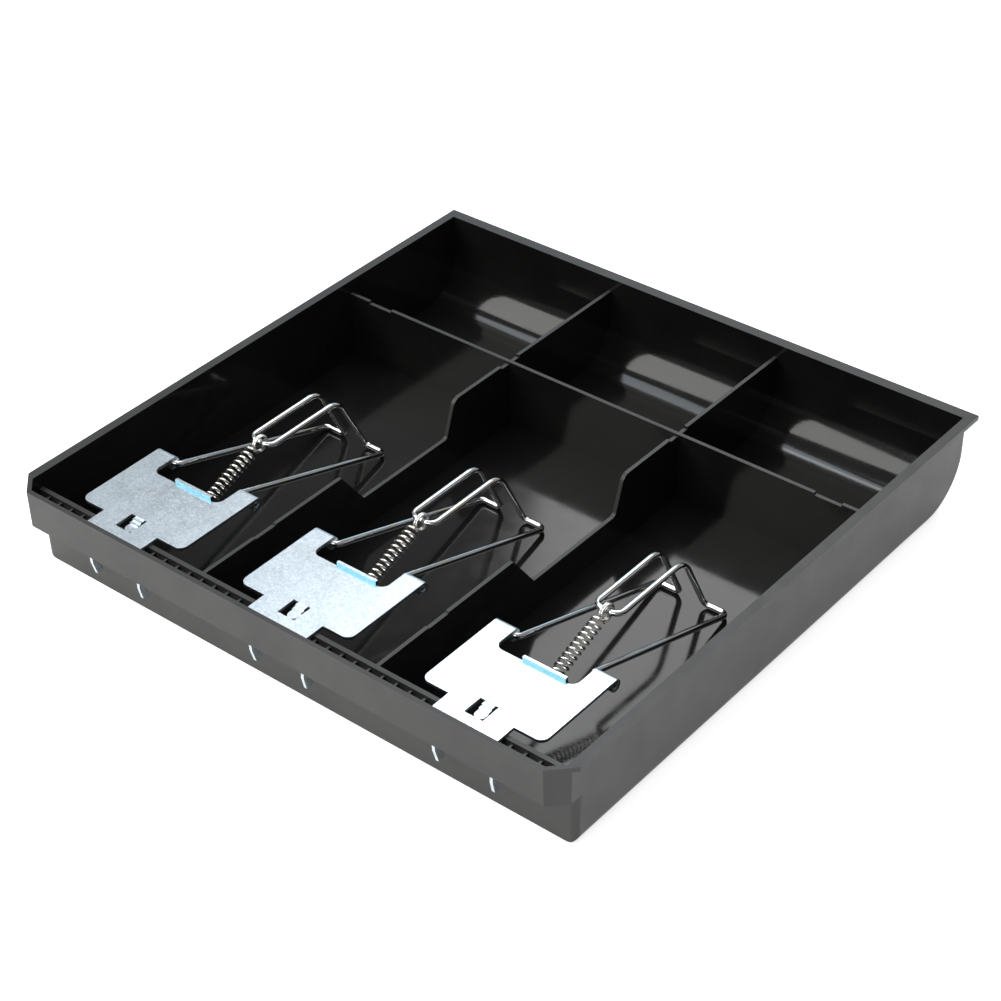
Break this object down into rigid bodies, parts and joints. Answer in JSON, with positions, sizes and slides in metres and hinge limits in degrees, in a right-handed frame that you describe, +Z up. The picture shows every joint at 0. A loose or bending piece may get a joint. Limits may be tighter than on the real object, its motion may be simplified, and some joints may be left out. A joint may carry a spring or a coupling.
{
  "type": "cash drawer insert tray",
  "caption": "Shallow black moulded cash tray with note bays, scooped coin cups and sprung wire note clips on steel plates.",
  "frame": {"origin": "centre of the underside, on the surface that it rests on", "axes": "+X along the front edge to the right, +Y to the coin cups at the rear, +Z up out of the open top"},
  "size_m": [0.246, 0.2394, 0.0353],
  "materials": {
    "tray_plastic": "glossy black moulded polystyrene, satin on the outer faces",
    "plate_zinc": "zinc-plated steel sheet with a fine blue-white grain",
    "bail_nickel": "bright nickel-plated wire",
    "spring_steel": "bright spring wire"
  },
  "bodies": {
    "insert": {"tray": "tray_plastic", "left_clip_plate": "plate_zinc", "centre_clip_plate": "plate_zinc", "right_clip_plate": "plate_zinc"},
    "left_bail": {"left_clip_bail": "bail_nickel"},
    "left_spring": {"left_clip_spring": "spring_steel"},
    "centre_bail": {"centre_clip_bail": "bail_nickel"},
    "centre_spring": {"centre_clip_spring": "spring_steel"},
    "right_bail": {"right_clip_bail": "bail_nickel"},
    "right_spring": {"right_clip_spring": "spring_steel"}
  },
  "joints": [
    {"name": "left_bail_lift", "type": "hinge", "parent": "insert", "child": "left_bail", "pos_m": [-0.0774, -0.0698, 0.02855], "axis": [1, 0, 0], "range_deg": [0, 84], "stiffness_Nm_per_rad": 0.02, "springref_deg": -34.38, "deforming": ["left_clip_spring"]},
    {"name": "left_spring_swing", "type": "hinge", "parent": "insert", "child": "left_spring", "pos_m": [-0.0774, -0.07985, 0.0173], "axis": [1, 0, 0], "range_deg": [0, 54.91]},
    {"name": "centre_bail_lift", "type": "hinge", "parent": "insert", "child": "centre_bail", "pos_m": [-0.0003, -0.0698, 0.02855], "axis": [1, 0, 0], "range_deg": [0, 84], "stiffness_Nm_per_rad": 0.02, "springref_deg": -34.38, "deforming": ["centre_clip_spring"]},
    {"name": "centre_spring_swing", "type": "hinge", "parent": "insert", "child": "centre_spring", "pos_m": [-0.0003, -0.07985, 0.0173], "axis": [1, 0, 0], "range_deg": [0, 54.91]},
    {"name": "right_bail_lift", "type": "hinge", "parent": "insert", "child": "right_bail", "pos_m": [0.0797, -0.0698, 0.02855], "axis": [1, 0, 0], "range_deg": [0, 84], "stiffness_Nm_per_rad": 0.02, "springref_deg": -34.38, "deforming": ["right_clip_spring"]},
    {"name": "right_spring_swing", "type": "hinge", "parent": "insert", "child": "right_spring", "pos_m": [0.0797, -0.07985, 0.0173], "axis": [1, 0, 0], "range_deg": [0, 54.91]}
  ],
  "couplings": [
    {"joint": "left_spring_swing", "follows": "left_bail_lift", "ratio": 0.6502},
    {"joint": "centre_spring_swing", "follows": "centre_bail_lift", "ratio": 0.6502},
    {"joint": "right_spring_swing", "follows": "right_bail_lift", "ratio": 0.6502}
  ]
}
